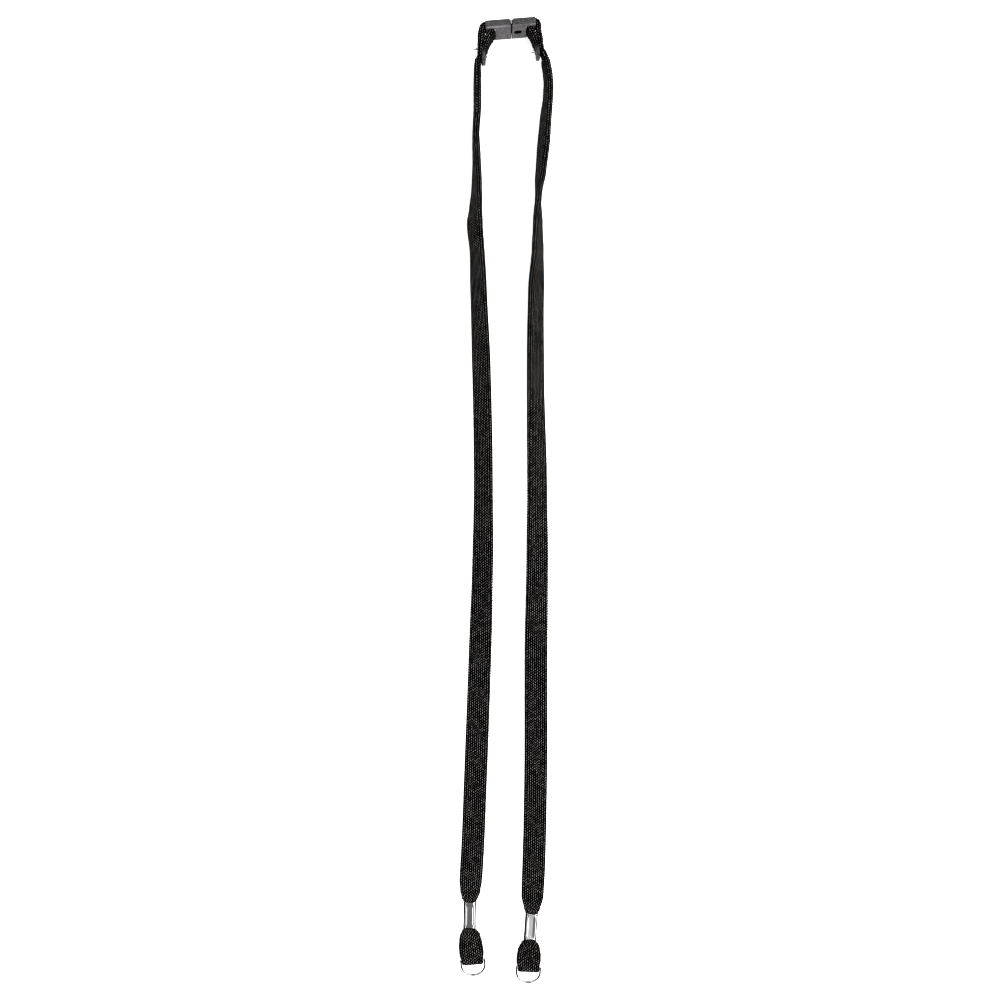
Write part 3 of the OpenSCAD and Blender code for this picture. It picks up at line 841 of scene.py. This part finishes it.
def chrome_material():
    m = Nodes("chrome")
    place = m.new("ShaderNodeTexCoord").outputs["Object"]
    lines = m.noise(m.stretched(place, (2600, 90, 2600)), 1.0, 3.0)
    smear = m.noise(place, 320.0, 3.0)
    colour = m.ramp(smear, [(0.3, (0.78, 0.77, 0.77)), (0.7, (0.90, 0.895, 0.90))])
    rough = m.math("ADD", m.math("MULTIPLY", m.math("MULTIPLY", lines, smear), 0.22), 0.03)
    return m.surface(Base_Color=colour, Metallic=1.0, Roughness=rough,
                     Normal=m.bump(lines, 0.10, 0.00002))


braid_mat, thread_mat = braid_material(), thread_material()
plastic_mat, chrome_mat = plastic_material(), chrome_material()
for strap in straps.values():
    strap.data.materials.append(braid_mat)
for tack in tacks:
    tack.data.materials.append(thread_mat)
for piece in buckle.values():
    piece.data.materials.append(plastic_mat)
for piece in chrome_pieces:
    piece.data.materials.append(chrome_mat)

# ---------------------------------------------------------------- floor, world and lights
floor = mesh_object("floor", [(-3, -3, 0), (3, -3, 0), (3, 3, 0), (-3, 3, 0)], [(0, 1, 2, 3)])
floor_nodes = Nodes("floor")
floor_place = floor_nodes.new("ShaderNodeTexCoord").outputs["Object"]
floor.data.materials.append(floor_nodes.surface(
    Base_Color=floor_nodes.ramp(floor_nodes.noise(floor_place, 9.0), [(0.3, 0.80), (0.7, 0.82)]),
    Roughness=0.9, Specular_IOR_Level=0.1, Emission_Color=(1.0, 1.0, 1.0, 1.0),
    Emission_Strength=0.7))

# The room, which the chrome reflects: bright, with dark bands that give the ferrules their stripes.
room = Nodes("room", world=True)
room_place = room.new("ShaderNodeTexCoord").outputs["Generated"]
towards = room.new("ShaderNodeSeparateXYZ", {"Vector": room_place})
lean = room.math("ARCTAN2", towards.outputs["X"], towards.outputs["Z"])
share = room.math("ADD", room.math("MULTIPLY", lean, 1 / (2 * math.pi)), 0.5)


def at_lean(angle):
    return 0.5 + angle / 360


# each stop is a lean from straight up, in degrees, and how bright the room is there
sideways = room.ramp(share, [
    (at_lean(-96), 1.0), (at_lean(-91), 0.03), (at_lean(-27), 0.03), (at_lean(-22), 1.0),
    (at_lean(-17), 1.0), (at_lean(-12), 0.09), (at_lean(3), 0.09), (at_lean(7), 0.42),
    (at_lean(14), 0.42), (at_lean(18), 1.0), (at_lean(54), 1.0), (at_lean(60), 0.14),
    (at_lean(86), 0.14), (at_lean(92), 1.0)])
endways = room.math("ABSOLUTE", room.math("ARCTAN2", towards.outputs["Y"], towards.outputs["Z"]))
ends = room.ramp(room.math("MULTIPLY", endways, 1 / math.pi), [
    (36 / 180, 1.0), (40 / 180, 0.04), (90 / 180, 0.04), (96 / 180, 1.0)])
both = room.new("ShaderNodeMix", {0: 1.0}, data_type="RGBA", blend_type="MULTIPLY")
room.tree.links.new(sideways, both.inputs[6])
room.tree.links.new(ends, both.inputs[7])
background = room.new("ShaderNodeBackground", {"Color": both.outputs[2], "Strength": 1.8})
room.new("ShaderNodeOutputWorld", {"Surface": background.outputs[0]})
bpy.context.scene.world = room.holder


def softbox(name, at, aim, size, power):
    light = bpy.data.lights.new(name, "AREA")
    light.shape = "RECTANGLE"
    light.size, light.size_y = size
    light.energy = power
    obj = link(bpy.data.objects.new(name, light))
    obj.location = at
    obj.rotation_euler = (Vector(aim) - Vector(at)).to_track_quat("-Z", "Y").to_euler()
    obj.visible_glossy = False      # the chrome shows the room alone


softbox("front_softbox", (-0.15, -0.9, 0.42), (0.0, 0.1, 0.0), (0.7, 0.3), 6.0)
softbox("top_softbox", (0.3, 0.35, 1.1), (0.0, 0.0, 0.0), (0.8, 0.8), 8.0)

bpy.context.scene.cycles.filter_width = 1.0
view = bpy.context.scene.view_settings
view.view_transform = "Standard"
view.look = "None"
view.exposure = 0.0
view.gamma = 1.0
